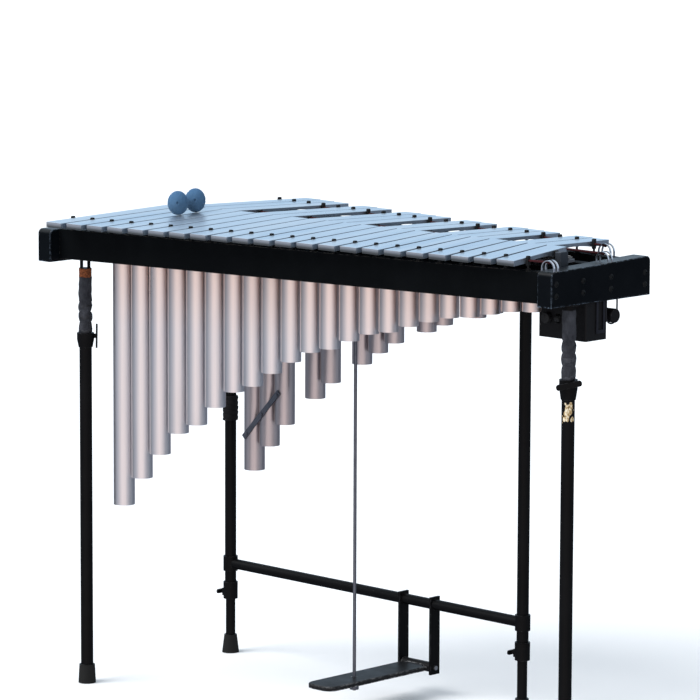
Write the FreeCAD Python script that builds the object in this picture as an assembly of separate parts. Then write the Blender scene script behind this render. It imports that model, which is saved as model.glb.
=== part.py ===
"""Portable three-octave vibraphone (F3 to F6), millimetres, +Z up.

Design axes: X runs from the low notes to the high notes, Y away from the player. Z = 0 is on the top of the
bars and Y = 0 is between the two rows of bars. Everything is moved at the end so that the origin is on the
floor, under the middle of the object's box.
"""
import FreeCAD, Part
import math
import os

V = FreeCAD.Vector

# ---- bars ----
PITCH = 43.0                       # from one natural bar to the next
NATURALS = 22
# after which natural bar each accidental one lies
ACCIDENTAL_PLACES = [1, 2, 3, 5, 6, 8, 9, 10, 12, 13, 15, 16, 17, 19, 20]
BAR_WIDTH = 37.5
BAR_THICK = 9.5
ROW_GAP = 8.0                      # between the natural and the accidental row
NODE_RATIO = 0.224                 # nodal line, as a part of the bar's length from each end
NATURAL_LENGTH = (318.0, -0.2)     # length = a + b * X
ACCIDENTAL_LENGTH = (320.6, -0.1663)
CORD_RADIUS = 2.0
CORD_Z = -BAR_THICK / 2
# height of the cord along each nodal line, as (value at X = 0, slope): the two rows meet in a low ridge
CORD_HEIGHTS = {"front": (CORD_Z, 0.0), "inner": (-0.85, 0.0032), "near": (-3.55, 0.0017),
                "rear": (-9.7, 0.0067)}
POST_RISE = {"front": 3.0, "inner": -1.0, "near": -1.0, "rear": 4.2}   # of the posts above the bars
CORD_HOLE_RADIUS = 2.6
POST_HALF = 3.4                    # half the depth of a post's head
POST_BORE = 2.5
POST_DEPTH = 8.25                  # of a post's head below the cord
CORD_TURN_X = -11.0                # where the natural row's cord turns round at the low end
CORD_CORNER = 7.0
KNOT_RADIUS = 3.2
KNOT_BEHIND = 2.0                  # from the knot to the middle of its hook
HOOK_RADIUS = 14.0
HOOK_THICK = 1.6
HOOK_HALF_WIDTH = 6.4
HOOK_SLIT = 3.0                    # half the gap between the two strips of a hook
HOOK_CROWN_DEPTH = 10.05            # of the middle of a hook's arch below the cord
REAR_HOOK_X = 912.0
ANCHOR_X = 957.0
ANCHOR_HALF = 6.0
ANCHOR_TOP = 5.0

# ---- frame ----
RAIL_TOP = -21.0
RAIL_BOTTOM = -74.0
RAIL_THICK = 19.0
BEAM_THICK = 32.0
BEAM_BOTTOM = -79.0
SCREW_HEIGHTS = (-40.0, -60.0)
LOW_BEAM_X = -22.0                 # inner face of the beam at the low end
HIGH_BEAM_X = 973.0                # inner face of the beam at the high end
HOOK_X = HIGH_BEAM_X + BEAM_THICK / 2
FLOOR = -860.0

# ---- resonators ----
SPEED_OF_SOUND = 345000.0          # mm/s
LOWEST_FREQUENCY = 174.61
TUBE_TOP = -33.0
TUBE_WALL = 1.0
TUBE_RADIUS = (19.3, -0.003)
NATURAL_TUBE_Y = (-150.5, 0.088)
ACCIDENTAL_TUBE_Y = (167.4, -0.097)
FAN_Z = -46.0
FAN_SHAFT_RADIUS = 2.5
SHAFT_CLEARANCE = 0.05
FAN_DISC_THICK = 0.8
FAN_DISC_PLAY = 1.2                # between a disc's rim and the wall of its tube
BRACKET_THICK = 3.0
STRIP_THICK = 2.0
STRIP_TOP = -52.0
STRIP_BOTTOM = -70.0
STRAP_WIDTH = 10.0

# ---- drive ----
LINK_PULLEY_X = 949.5
DRIVE_PULLEY_X = 958.5
LINK_PULLEY_WIDTH = 7.0
DRIVE_PULLEY_WIDTH = 8.0
PULLEY_FLANGE = 0.8
LINK_PULLEY_RADIUS = 10.0
DRIVE_PULLEY_RADIUS = 18.0
MOTOR_PULLEY_RADIUS = 6.0
BELT_RADIUS = 1.2
BELT_LIFT = 0.1                    # of the belt above the pulley's floor
MOTOR_Y = 66.0
MOTOR_Z = -109.0
MOTOR_RADIUS = 12.0
SPINDLE_RADIUS = 1.5
U_BOLT_RADIUS = 1.5
BOX = (891.0, 995.0, -13.0, 41.0, -145.5, BEAM_BOTTOM)
BOX_WALL = 2.5
KNOB_X = BOX[0] + 21
KNOB_Z = -112.0
KNOB_RIDGES = 18
SWITCH_X = BOX[0] + 43
INLET_X = BOX[0] + 28

# ---- damper and pedal ----
DAMPER_HALF_WIDTH = 19.0
FELT_TOP = -7.5
FELT_THICK = 6.0
DAMPER_BAR_THICK = 5.0
DAMPER_ENDS = (-9.0, 942.0)
SPRING_X = (4.0, 925.0)
SPRING_RADIUS = 8.0
ROD_X = 455.0
ROD_RADIUS = 3.0
SPRING_SEAT_Z = -60.0
PEDAL_Z = -806.0
PEDAL_TOE_Y = -95.0
PEDAL_HALF_WIDTH = 32.0
PEDAL_THICK = 8.0
PIN_RADIUS = 4.0
HANGER_X = 38.0                    # from the pull rod to each hanger
STRETCHER_Z = -690.0
STRETCHER_RADIUS = 9.5
STRETCHER_FIT = 0.02

# ---- legs: plan position, and the height of the clamp's lower edge ----
FRONT_LEGS = {"front_left": (-40.0, -185.0), "front_right": (983.6, -42.3)}
REAR_LEGS = {"rear_left": (-38.0, 181.0), "rear_right": (709.0, 161.3)}
REAR_LEG_TOPS = {"rear_left": BEAM_BOTTOM, "rear_right": RAIL_BOTTOM}
FRONT_UPPER_RADIUS = 9.5
FRONT_LOWER_RADIUS = 11.2
REAR_UPPER_RADIUS = 10.6
REAR_LOWER_RADIUS = 8.9
FRONT_CLAMP_BOTTOM = {"front_left": -243.0, "front_right": -240.0}
FRONT_CLAMP_HEIGHT = {"front_left": 26.0, "front_right": 34.0}
WING_HEADING = {"front_left": 43.6, "front_right": -46.4}   # of each wing screw, degrees from +X
WING_TILT = {"front_left": 75.0, "front_right": 12.0}       # of each wing about its screw
BRACKET_FLANGE = 3.0
FORK_HEIGHT = {"front_left": 17.5, "front_right": 0.0}      # of the open fork above each bracket's sleeve
FORK_GAP = 8.0
SLEEVE_BOTTOM = {"front_left": -115.5, "front_right": -89.5}
SLEEVE_WALL = 1.4
REAR_CLAMP_BOTTOM = -735.0
FOAM_RADIUS = 11.9
LEG_CLEARANCE = 0.06
FOOT_RADIUS = 16.0
FOOT_HEIGHT = 34.0
TUBE_FOOT_Z = FLOOR + 8            # lower end of each lower tube, inside its foot
SOCKET_FLOOR = 4.0
SKIRT_HEIGHT = 10.0
WING_HALF = 22.0
FRONT_OVERLAP = 260.0              # of the upper tube inside the lower one
REAR_OVERLAP = 230.0               # of the lower tube inside the upper one

# ---- mallets: centre of each head, and the direction and slope of the shafts ----
MALLET_HEADS = {"left": (126.1, -114.0, 25.5), "right": (124.4, -69.2, 26.7)}
MALLET_RADIUS = 21.5
MALLET_HEAD_LENGTH = 34.0
MALLET_SHAFT_LENGTH = 340.0
MALLET_SHAFT_RADIUS = 3.4
MALLET_HEADING = 133.5
MALLET_SLOPE = 6.2

PARTS = {}                         # node name to its solids, in the design axes


def at(line, x):
    """Value at x of a straight line given as (value at X = 0, slope)."""
    return line[0] + line[1] * x


def line_through(x0, y0, x1, y1):
    slope = (y1 - y0) / (x1 - x0)
    return (y0 - slope * x0, slope)


def box(x0, x1, y0, y1, z0, z1):
    return Part.makeBox(x1 - x0, y1 - y0, z1 - z0, V(x0, y0, z0))


def rod(start, direction, length, radius):
    return Part.makeCylinder(radius, length, start, direction)


def pipe(start, direction, length, outer, inner):
    return rod(start, direction, length, outer).cut(rod(start, direction, length, inner))


def prism(points, direction):
    wire = Part.makePolygon(points + [points[0]])
    return Part.Face(wire).extrude(direction)


def plank(line, x0, x1, thick, z0, z1):
    """Straight board whose middle follows a line in plan."""
    a = at(line, x0)
    b = at(line, x1)
    h = thick / 2
    corners = [V(x0, a - h, z0), V(x1, b - h, z0), V(x1, b + h, z0), V(x0, a + h, z0)]
    return prism(corners, V(0, 0, z1 - z0))


def line_cylinder(line, x0, x1, z, radius):
    """Cylinder that follows a line in plan from x0 to x1."""
    start = V(x0, at(line, x0), z)
    end = V(x1, at(line, x1), z)
    return rod(start, end - start, (end - start).Length, radius)


def line_direction(line):
    direction = V(1, line[1], 0)
    return direction.normalize()


def save(name, solids):
    PARTS[name] = solids[0] if len(solids) == 1 else Part.makeCompound(solids)


def origin():
    """The floor, under the middle of the whole object's box."""
    whole = Part.makeCompound(list(PARTS.values())).BoundBox
    return V(whole.Center.x, whole.Center.y, FLOOR)


def export_parts():
    start = origin()
    for name, shape in PARTS.items():
        moved = shape.copy()
        moved.translate(start * -1)
        moved.exportStep("parts/" + name + ".step")


# ---- lines that the whole frame follows ----
def nodal_lines():
    half_gap = ROW_GAP / 2
    front = (-half_gap - (1 - NODE_RATIO) * NATURAL_LENGTH[0], -(1 - NODE_RATIO) * NATURAL_LENGTH[1])
    inner = (-half_gap - NODE_RATIO * NATURAL_LENGTH[0], -NODE_RATIO * NATURAL_LENGTH[1])
    near = (half_gap + NODE_RATIO * ACCIDENTAL_LENGTH[0], NODE_RATIO * ACCIDENTAL_LENGTH[1])
    rear = (half_gap + (1 - NODE_RATIO) * ACCIDENTAL_LENGTH[0], (1 - NODE_RATIO) * ACCIDENTAL_LENGTH[1])
    return {"front": front, "inner": inner, "near": near, "rear": rear}


LINES = nodal_lines()
NATURAL_X = [(k + 0.5) * PITCH for k in range(NATURALS)]
ACCIDENTAL_X = [place * PITCH for place in ACCIDENTAL_PLACES]
NATURAL_POST_X = [k * PITCH for k in range(NATURALS + 1)]
ACCIDENTAL_POST_X = sorted({x + side * PITCH / 2 for x in ACCIDENTAL_X for side in (-1, 1)})


def cord_point(line, x):
    """Middle of the cord of a nodal line, at x."""
    return V(x, at(LINES[line], x), at(CORD_HEIGHTS[line], x))


# ---- bars ----
def bar(x, near_y, length, side, lines):
    """One bar with its arched underside, hung on the cords of two lines. side is its way from near_y."""
    far_y = near_y + side * length
    y0 = min(near_y, far_y)
    y1 = max(near_y, far_y)
    middle = (y0 + y1) / 2
    arch_half = 0.24 * length
    arch_depth = 1.2 + 0.011 * length
    low = -BAR_THICK
    left = x - BAR_WIDTH / 2
    arch = Part.Arc(V(left, middle - arch_half, low), V(left, middle, low + arch_depth),
                    V(left, middle + arch_half, low))
    edges = [Part.LineSegment(V(left, y0, 0), V(left, y0, low)).toShape(),
             Part.LineSegment(V(left, y0, low), V(left, middle - arch_half, low)).toShape(),
             arch.toShape(),
             Part.LineSegment(V(left, middle + arch_half, low), V(left, y1, low)).toShape(),
             Part.LineSegment(V(left, y1, low), V(left, y1, 0)).toShape(),
             Part.LineSegment(V(left, y1, 0), V(left, y0, 0)).toShape()]
    solid = Part.Face(Part.Wire(edges)).extrude(V(BAR_WIDTH, 0, 0))
    top = [e for e in solid.Edges if abs(e.BoundBox.ZMin) < 0.01 and abs(e.BoundBox.ZMax) < 0.01]
    solid = solid.makeFillet(0.8, top)
    for line in lines:
        hole = line_cylinder(LINES[line], left - 5, left + BAR_WIDTH + 5, CORD_Z, CORD_HOLE_RADIUS)
        solid = solid.cut(hole)
    near, far = [cord_point(line, x) for line in lines]
    tilt = math.degrees(math.atan2(far.z - near.z, far.y - near.y))
    solid.rotate(V(x, near.y, CORD_Z), V(1, 0, 0), tilt)
    solid.translate(V(0, 0, near.z - CORD_Z))
    return solid


def make_bars():
    half_gap = ROW_GAP / 2
    naturals = [bar(x, -half_gap, at(NATURAL_LENGTH, x), -1, ("front", "inner"))
                for x in NATURAL_X]
    accidentals = [bar(x, half_gap, at(ACCIDENTAL_LENGTH, x), 1, ("near", "rear"))
                   for x in ACCIDENTAL_X]
    save("natural_bars_low", naturals[:11])
    save("natural_bars_high", naturals[11:])
    save("accidental_bars_low", accidentals[:8])
    save("accidental_bars_high", accidentals[8:])


# ---- bar posts: a stem with a rounded head that the cord is threaded through ----
def post(line, x):
    cord = cord_point(line, x)
    bottom = cord.z - POST_DEPTH
    top = cord.z + BAR_THICK / 2 + POST_RISE[line]
    head = box(x - 2.2, x + 2.2, cord.y - POST_HALF, cord.y + POST_HALF, bottom, top)
    rims = [e for e in head.Edges if e.BoundBox.ZMin > top - 0.1 and e.BoundBox.XLength > 4]
    head = head.makeFillet(2.0, rims)
    bore = rod(cord - V(3, 0, 0), V(1, 0, 0), 6, POST_BORE)
    stem = rod(V(x, cord.y, RAIL_TOP), V(0, 0, 1), bottom + 2 - RAIL_TOP, 2.0)
    foot = rod(V(x, cord.y, RAIL_TOP), V(0, 0, 1), 2.5, 4.5)
    return head.cut(bore).fuse(stem).fuse(foot).removeSplitter()


def make_posts():
    natural = [post(line, x) for line in ("front", "inner") for x in NATURAL_POST_X]
    accidental = [post(line, x) for line in ("near", "rear") for x in ACCIDENTAL_POST_X]
    save("natural_bar_posts", natural)
    save("accidental_bar_posts", accidental)


# ---- bar cords: one taut loop for each row, round the low end ----
def looped_cord(line_a, line_b, turn_x, end_a_x, end_b_x):
    """Cord along line_a to turn_x, across to line_b and back, with its two corners rounded."""
    route = [cord_point(line_a, end_a_x), cord_point(line_a, turn_x), cord_point(line_b, turn_x),
             cord_point(line_b, end_b_x)]
    edges = []
    start = route[0]
    for before, here, after in zip(route, route[1:], route[2:]):
        back = (before - here).normalize()
        ahead = (after - here).normalize()
        half_turn = back.getAngle(ahead) / 2
        reach = CORD_CORNER / math.tan(half_turn)
        tangent_in = here + back * reach
        tangent_out = here + ahead * reach
        towards = (back + ahead).normalize()
        middle = here + towards * (CORD_CORNER / math.sin(half_turn) - CORD_CORNER)
        edges.append(Part.LineSegment(start, tangent_in).toShape())
        edges.append(Part.Arc(tangent_in, middle, tangent_out).toShape())
        start = tangent_out
    edges.append(Part.LineSegment(start, route[-1]).toShape())
    path = Part.Wire(edges)
    circle = Part.Wire(Part.makeCircle(CORD_RADIUS, route[0], route[1] - route[0]))
    return path.makePipeShell([circle], True, False)


def knot(line, x):
    """Knot in the end of a cord, which the strips of its hook hold back."""
    return Part.makeSphere(KNOT_RADIUS, cord_point(line, x))


def make_cords():
    front_end = HOOK_X - KNOT_BEHIND
    rear_end = REAR_HOOK_X - KNOT_BEHIND
    inner_end = ANCHOR_X - ANCHOR_HALF - 0.4
    natural = looped_cord("front", "inner", CORD_TURN_X, front_end, inner_end)
    turn_x = ACCIDENTAL_POST_X[0] + CORD_TURN_X
    accidental = looped_cord("near", "rear", turn_x, front_end, rear_end)
    natural = natural.fuse(knot("front", front_end))
    accidental = accidental.fuse(knot("near", front_end)).fuse(knot("rear", rear_end))
    save("natural_bar_cord", [natural.removeSplitter()])
    save("accidental_bar_cord", [accidental.removeSplitter()])


def hook(x, line, base_z):
    """Inverted U of two parallel strips. The cord comes in between them and is knotted under their arch."""
    y = at(LINES[line], x - 0.4 * HOOK_RADIUS)
    outer = HOOK_RADIUS
    inner = HOOK_RADIUS - HOOK_THICK
    half = HOOK_HALF_WIDTH
    crown = at(CORD_HEIGHTS[line], x) - HOOK_CROWN_DEPTH
    profile = rod(V(x, y - half, crown), V(0, 1, 0), 2 * half, outer)
    profile = profile.common(box(x - outer, x + outer, y - half, y + half, crown, crown + outer))
    profile = profile.fuse(box(x - outer, x + outer, y - half, y + half, base_z, crown))
    inside = rod(V(x, y - half, crown), V(0, 1, 0), 2 * half, inner)
    inside = inside.fuse(box(x - inner, x + inner, y - half, y + half, base_z, crown))
    slit = box(x - outer, x + outer, y - HOOK_SLIT, y + HOOK_SLIT, base_z, crown + outer)
    return profile.cut(inside).cut(slit).Solids


def make_hooks():
    strips = []
    for name in ("front", "near"):
        beam_top = beam_top_z(HIGH_BEAM, at(LINES[name], HOOK_X) + HOOK_HALF_WIDTH)
        strips += hook(HOOK_X, name, beam_top + 0.05)
    strips += hook(REAR_HOOK_X, "rear", RAIL_TOP)
    anchor_y = at(LINES["inner"], ANCHOR_X)
    anchor = box(ANCHOR_X - ANCHOR_HALF, ANCHOR_X + ANCHOR_HALF, anchor_y - 9.5, anchor_y + 9.5,
                 RAIL_TOP, ANCHOR_TOP)
    anchor = anchor.makeFillet(1.5, [e for e in anchor.Edges if e.BoundBox.ZMin > ANCHOR_TOP - 0.1])
    save("cord_hooks", strips + [anchor])


# ---- frame ----
HIGH_BEAM = {"x": HIGH_BEAM_X, "front": -112.0, "rear": 141.0, "front_top": -19.5, "rear_top": -12.5}
LOW_BEAM = {"x": LOW_BEAM_X - BEAM_THICK, "front": -286.0, "rear": 268.0, "front_top": -21.0,
            "rear_top": -17.0}


def beam_top_z(beam, y):
    part = (y - beam["front"]) / (beam["rear"] - beam["front"])
    return beam["front_top"] + part * (beam["rear_top"] - beam["front_top"])


def end_beam(beam):
    """Wooden end piece with rounded top corners and a top that rises a little towards the back."""
    x0 = beam["x"]
    y0 = beam["front"]
    y1 = beam["rear"]
    corners = [V(x0, y0, BEAM_BOTTOM), V(x0, y1, BEAM_BOTTOM),
               V(x0, y1, beam["rear_top"]), V(x0, y0, beam["front_top"])]
    solid = prism(corners, V(BEAM_THICK, 0, 0))
    top_ends = [e for e in solid.Edges if e.BoundBox.XLength > 10 and e.BoundBox.ZMin > -30]
    solid = solid.makeFillet(9.0, top_ends)
    long_edges = [e for e in solid.Edges if e.BoundBox.XLength < 0.01]
    return solid.makeFillet(1.6, long_edges)


def rail(line, windows):
    """Rail under one nodal line. Each window is (x0, x1, z0, z1)."""
    solid = plank(line, LOW_BEAM_X, HIGH_BEAM_X, RAIL_THICK, RAIL_BOTTOM, RAIL_TOP)
    for x0, x1, z0, z1 in windows:
        solid = solid.cut(box(x0, x1, -400, 400, z0, z1))
    return solid


def make_frame():
    """Rails, end beams and their screws. The link belt runs through a window in each inner rail."""
    half_height = LINK_PULLEY_RADIUS + 4
    window = (LINK_PULLEY_X - 5, LINK_PULLEY_X + 5, FAN_Z - half_height, FAN_Z + half_height)
    save("front_rail", [rail(LINES["front"], [])])
    save("natural_inner_rail", [rail(LINES["inner"], [window])])
    save("accidental_inner_rail", [rail(LINES["near"], [window])])
    save("rear_rail", [rail(LINES["rear"], [])])
    save("end_beam_low", [end_beam(LOW_BEAM)])
    save("end_beam_high", [end_beam(HIGH_BEAM)])
    screws = []
    for line in LINES.values():
        for z in SCREW_HEIGHTS:
            low = V(LOW_BEAM_X - BEAM_THICK, at(line, LOW_BEAM_X), z)
            high = V(HIGH_BEAM_X + BEAM_THICK, at(line, HIGH_BEAM_X), z)
            screws += [button_screw(low, V(-1, 0, 0)), button_screw(high, V(1, 0, 0))]
    save("frame_screws", screws)


def button_screw(place, outward):
    """Domed screw head that stands on a face."""
    head = Part.makeSphere(6.0, place - outward * 3.2)
    keep = rod(place, outward, 6, 8)
    socket = rod(place + outward * 1.4, outward, 6, 1.6)
    return head.common(keep).cut(socket)


# ---- resonators ----
def natural_frequency(index):
    """Hertz of a natural bar, counted from the lowest F."""
    scale = [0, 2, 4, 6, 7, 9, 11]
    semitones = 12 * (index // 7) + scale[index % 7]
    return LOWEST_FREQUENCY * 2 ** (semitones / 12)


def accidental_frequency(place):
    return natural_frequency(place - 1) * 2 ** (1 / 12)


def tube_bottom(frequency):
    """A quarter of the wave below the tube's top."""
    return TUBE_TOP - SPEED_OF_SOUND / (4 * frequency)


def tube(x, tube_line, frequency):
    y = at(tube_line, x)
    radius = at(TUBE_RADIUS, x)
    bottom = tube_bottom(frequency)
    solid = pipe(V(x, y, bottom), V(0, 0, 1), TUBE_TOP - bottom, radius, radius - TUBE_WALL)
    bore = line_cylinder(tube_line, x - 30, x + 30, FAN_Z, FAN_SHAFT_RADIUS + 0.8)
    return solid.cut(bore)


def stopper(x, tube_line, frequency):
    """Shallow cap that closes the bottom of a tube from inside."""
    radius = at(TUBE_RADIUS, x) - TUBE_WALL
    bottom = tube_bottom(frequency)
    y = at(tube_line, x)
    cap = rod(V(x, y, bottom + 1.0), V(0, 0, 1), 12, radius)
    return cap.cut(rod(V(x, y, bottom + 3.0), V(0, 0, 1), 12, radius - 1.5))


def strip_lines(tube_line):
    """Lines of the two strips that touch the front and the back of a bank's tubes."""
    slope = tube_line[1]
    lengthen = math.sqrt(1 + slope * slope)
    front = (tube_line[0] - TUBE_RADIUS[0] * lengthen - STRIP_THICK / 2 - 0.02, slope - TUBE_RADIUS[1])
    back = (tube_line[0] + TUBE_RADIUS[0] * lengthen + STRIP_THICK / 2 + 0.02, slope + TUBE_RADIUS[1])
    return front, back


BANKS = {"natural": (NATURAL_TUBE_Y, (LINES["front"], LINES["inner"]), -6.0, 943.0),
         "accidental": (ACCIDENTAL_TUBE_Y, (LINES["near"], LINES["rear"]), 8.0, 943.0)}


def bearing_bracket(tube_line, rails, x):
    """Cross plate between two rails that carries one end of a bank and the bush of its fan shaft."""
    y0 = at(rails[0], x) + RAIL_THICK / 2 + 0.3
    y1 = at(rails[1], x) - RAIL_THICK / 2 - 0.3
    plate = box(x - BRACKET_THICK / 2, x + BRACKET_THICK / 2, y0, y1, STRIP_BOTTOM, FAN_Z + 9)
    along = line_direction(tube_line)
    middle = V(x, at(tube_line, x), FAN_Z)
    plate = plate.fuse(rod(middle - along * 1.7, along, 3.4, 6))
    return plate.cut(rod(middle - along * 20, along, 40, FAN_SHAFT_RADIUS + SHAFT_CLEARANCE)).removeSplitter()


def make_resonators():
    naturals = [(x, NATURAL_TUBE_Y, natural_frequency(i)) for i, x in enumerate(NATURAL_X)]
    accidentals = [(x, ACCIDENTAL_TUBE_Y, accidental_frequency(place))
                   for place, x in zip(ACCIDENTAL_PLACES, ACCIDENTAL_X)]
    save("natural_resonator_tubes", [tube(*t) for t in naturals])
    save("accidental_resonator_tubes", [tube(*t) for t in accidentals])
    save("resonator_stoppers", [stopper(*t) for t in naturals + accidentals])
    brackets = []
    for name, (tube_line, rails, low_x, high_x) in BANKS.items():
        x0 = low_x + BRACKET_THICK / 2
        x1 = high_x - BRACKET_THICK / 2
        strips = [plank(line, x0, x1, STRIP_THICK, STRIP_BOTTOM, STRIP_TOP)
                  for line in strip_lines(tube_line)]
        save(name + "_bank_strips", strips)
        brackets.append(bearing_bracket(tube_line, rails, low_x))
        brackets.append(bearing_bracket(tube_line, rails, high_x))
    save("bearing_brackets", brackets)
    save("resonator_strap", [resonator_strap()])


def resonator_strap():
    """Flat brace riveted slantwise across the three longest accidental tubes."""
    middle_line = (ACCIDENTAL_TUBE_Y[0] - TUBE_RADIUS[0] - 0.6, ACCIDENTAL_TUBE_Y[1] - TUBE_RADIUS[1])
    x0, z0 = ACCIDENTAL_X[0] - 9, -438.0
    x1, z1 = ACCIDENTAL_X[2] + 5, -342.0
    height = line_through(x0, z0, x1, z1)
    low = V(x0, at(middle_line, x0), z0)
    high = V(x1, at(middle_line, x1), z1)
    across = V(0, 1, 0).cross(high - low).normalize() * (STRAP_WIDTH / 2)
    strap = prism([low - across, high - across, high + across, low + across], V(0, -STRIP_THICK, 0))
    for x in ACCIDENTAL_X[:3]:
        strap = strap.fuse(rod(V(x, at(middle_line, x) + 0.5, at(height, x)), V(0, -1, 0), 4.5, 3.0))
    return strap.removeSplitter()


# ---- fans ----
def fan_disc(x, tube_line):
    """Round vane that opens and closes one tube; at rest it stands on edge, so the tube is open."""
    radius = at(TUBE_RADIUS, x) - TUBE_WALL - FAN_DISC_PLAY
    along = line_direction(tube_line)
    across = V(0, 0, 1).cross(along)
    middle = V(x, at(tube_line, x), FAN_Z)
    disc = rod(middle - across * (FAN_DISC_THICK / 2), across, FAN_DISC_THICK, radius)
    hub = rod(middle - along * 9, along, 18, FAN_SHAFT_RADIUS + 1.5)
    bore = rod(middle - along * 30, along, 60, FAN_SHAFT_RADIUS)
    return disc.fuse(hub).cut(bore).removeSplitter()


def pulley(x, tube_line, width, radius):
    """Pulley on a fan shaft, centred at x."""
    along = line_direction(tube_line)
    start = V(x, at(tube_line, x), FAN_Z) - along * (width / 2)
    bore = rod(start - along, along, width + 2, FAN_SHAFT_RADIUS)
    return grooved_wheel(start, along, width, radius).cut(bore)


def grooved_wheel(start, along, width, radius):
    """Pulley with a flat floor between two flanges, wide enough for a belt that runs a little askew."""
    wheel = rod(start, along, width, radius + 2)
    floor_width = width - 2 * PULLEY_FLANGE
    return wheel.cut(pipe(start + along * PULLEY_FLANGE, along, floor_width, radius + 3, radius))


def make_fans():
    rows = {"natural": (NATURAL_X, LINK_PULLEY_X), "accidental": (ACCIDENTAL_X, DRIVE_PULLEY_X)}
    for name, (places, last_pulley_x) in rows.items():
        tube_line, _, low_x, _ = BANKS[name]
        save(name + "_fan_discs", [fan_disc(x, tube_line) for x in places])
        shaft = line_cylinder(tube_line, low_x - 5, last_pulley_x + 4, FAN_Z, FAN_SHAFT_RADIUS)
        save(name + "_fan_shaft", [shaft])
    natural_link = pulley(LINK_PULLEY_X, NATURAL_TUBE_Y, LINK_PULLEY_WIDTH, LINK_PULLEY_RADIUS)
    save("natural_fan_pulley", [natural_link])
    link = pulley(LINK_PULLEY_X, ACCIDENTAL_TUBE_Y, LINK_PULLEY_WIDTH, LINK_PULLEY_RADIUS)
    drive = pulley(DRIVE_PULLEY_X, ACCIDENTAL_TUBE_Y, DRIVE_PULLEY_WIDTH, DRIVE_PULLEY_RADIUS)
    save("accidental_fan_pulleys", [link, drive])


def belt(x, centre_a, radius_a, centre_b, radius_b):
    """Round belt over two pulleys in the plane X = x. Centres are (y, z)."""
    ya, za = centre_a
    yb, zb = centre_b
    span = math.hypot(yb - ya, zb - za)
    heading = math.atan2(zb - za, yb - ya)
    lean = math.acos((radius_a - radius_b) / span)

    def point(centre, radius, angle):
        return V(x, centre[0] + radius * math.cos(angle), centre[1] + radius * math.sin(angle))

    a_up = point(centre_a, radius_a, heading + lean)
    a_back = point(centre_a, radius_a, heading + math.pi)
    a_down = point(centre_a, radius_a, heading - lean)
    b_up = point(centre_b, radius_b, heading + lean)
    b_front = point(centre_b, radius_b, heading)
    b_down = point(centre_b, radius_b, heading - lean)
    circle = Part.Wire(Part.makeCircle(BELT_RADIUS, a_down, b_down - a_down))
    path = Part.Wire([Part.LineSegment(a_down, b_down).toShape(), Part.Arc(b_down, b_front, b_up).toShape(),
                      Part.LineSegment(b_up, a_up).toShape(), Part.Arc(a_up, a_back, a_down).toShape()])
    return path.makePipeShell([circle], True, False)


def make_belts():
    lift = BELT_RADIUS + BELT_LIFT
    natural_centre = (at(NATURAL_TUBE_Y, LINK_PULLEY_X), FAN_Z)
    link_centre = (at(ACCIDENTAL_TUBE_Y, LINK_PULLEY_X), FAN_Z)
    drive_centre = (at(ACCIDENTAL_TUBE_Y, DRIVE_PULLEY_X), FAN_Z)
    link_radius = LINK_PULLEY_RADIUS + lift
    drive_radius = DRIVE_PULLEY_RADIUS + lift
    motor_radius = MOTOR_PULLEY_RADIUS + lift
    save("fan_link_belt", [belt(LINK_PULLEY_X, natural_centre, link_radius, link_centre, link_radius)])
    save("motor_belt", [belt(DRIVE_PULLEY_X, drive_centre, drive_radius, (MOTOR_Y, MOTOR_Z), motor_radius)])


# ---- motor and control box ----
MOTOR_X = (DRIVE_PULLEY_X + 8, HIGH_BEAM_X + BEAM_THICK - 12)


def make_motor():
    x0, x1 = MOTOR_X
    body = rod(V(x0, MOTOR_Y, MOTOR_Z), V(1, 0, 0), x1 - x0, MOTOR_RADIUS)
    rims = [e for e in body.Edges if e.BoundBox.XLength < 0.01]
    body = body.makeFillet(1.2, rims)
    bearing = rod(V(x0 - 1, MOTOR_Y, MOTOR_Z), V(1, 0, 0), 9, SPINDLE_RADIUS + SHAFT_CLEARANCE)
    body = body.cut(bearing)
    save("motor", [body])
    start = V(DRIVE_PULLEY_X - 3, MOTOR_Y, MOTOR_Z)
    wheel = grooved_wheel(start, V(1, 0, 0), 6, MOTOR_PULLEY_RADIUS)
    spindle = rod(V(DRIVE_PULLEY_X - 4, MOTOR_Y, MOTOR_Z), V(1, 0, 0), 16, SPINDLE_RADIUS)
    save("motor_pulley", [wheel.fuse(spindle).removeSplitter()])
    save("motor_and_box_clamps", [u_bolt(HIGH_BEAM_X + 11), box_strap()])


def u_bolt(x):
    """Thin rod bent under the motor, with both legs up into the end beam's underside."""
    bend = MOTOR_RADIUS + U_BOLT_RADIUS + 0.4
    front_top = V(x, MOTOR_Y - bend, BEAM_BOTTOM)
    front = V(x, MOTOR_Y - bend, MOTOR_Z)
    under = V(x, MOTOR_Y, MOTOR_Z - bend)
    rear = V(x, MOTOR_Y + bend, MOTOR_Z)
    rear_top = V(x, MOTOR_Y + bend, BEAM_BOTTOM)
    path = Part.Wire([Part.LineSegment(front_top, front).toShape(), Part.Arc(front, under, rear).toShape(),
                      Part.LineSegment(rear, rear_top).toShape()])
    circle = Part.Wire(Part.makeCircle(U_BOLT_RADIUS, front_top, V(0, 0, -1)))
    return path.makePipeShell([circle], True, False)


def box_strap():
    """U-shaped strap on the outer side of the control box, up to the beam's underside."""
    x1 = BOX[1]
    outer = box(x1, x1 + STRIP_THICK, 12, 34, -134, BEAM_BOTTOM)
    return outer.cut(box(x1, x1 + STRIP_THICK, 17, 29, -128, BEAM_BOTTOM))


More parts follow.
